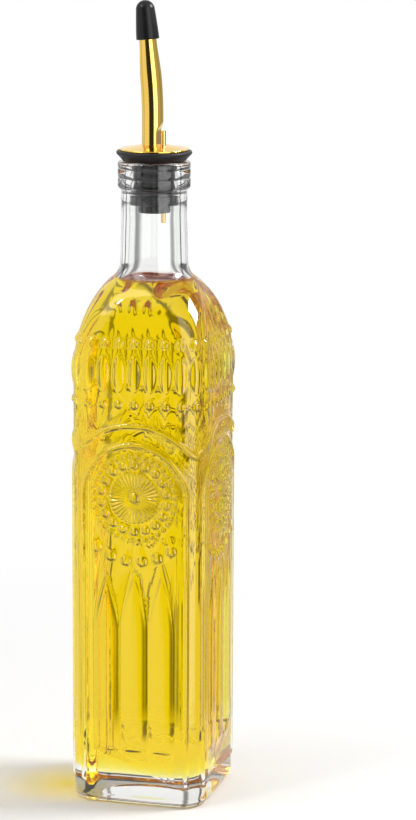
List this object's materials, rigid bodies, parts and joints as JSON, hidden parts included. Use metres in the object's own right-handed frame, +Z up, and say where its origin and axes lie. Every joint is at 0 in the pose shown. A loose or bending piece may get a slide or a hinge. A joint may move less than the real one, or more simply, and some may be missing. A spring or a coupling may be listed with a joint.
{
  "type": "glass oil bottle",
  "caption": "Square embossed glass oil bottle, filled with oil, with a push-in metal pourer on a ribbed rubber stopper and a black tip cap.",
  "frame": {"origin": "middle of the base, on the surface the bottle stands on", "axes": "+Z up along the neck, front face towards -Y, spout leaning towards -X"},
  "size_m": [0.06, 0.06, 0.3348],
  "materials": {
    "glass": "clear fire-polished soda glass",
    "oil": "clear golden-yellow oil",
    "sleeve_rubber": "smooth soft moulded rubber",
    "gasket_rubber": "satin moulded rubber",
    "core_plastic": "glossy black moulded plastic",
    "gold_plate": "bright gold-coloured plating on steel",
    "air_tube_metal": "bright gold-coloured plating on a drawn tube",
    "cap_rubber": "soft black moulded cap with a light gloss"
  },
  "bodies": {
    "bottle": {"glass_bottle": "glass", "oil_fill": "oil"},
    "stopper": {"cork_sleeve": "sleeve_rubber", "lip_gasket": "gasket_rubber"},
    "spout": {"stopper_core": "core_plastic", "collar_disc": "gold_plate", "spout_tube": "gold_plate", "air_tube": "air_tube_metal"},
    "cap": {"tip_cap": "cap_rubber"}
  },
  "joints": [
    {"name": "pourer_pull", "type": "slide", "parent": "bottle", "child": "stopper", "axis": [0, 0, 1], "range_m": [0, 0.045]},
    {"name": "spout_turn", "type": "hinge", "parent": "stopper", "child": "spout", "pos_m": [0, 0, 0.269], "axis": [0, 0, 1], "continuous": true},
    {"name": "cap_pull", "type": "slide", "parent": "spout", "child": "cap", "axis": [-0.0872, 0, 0.9962], "range_m": [0, 0.02]}
  ]
}
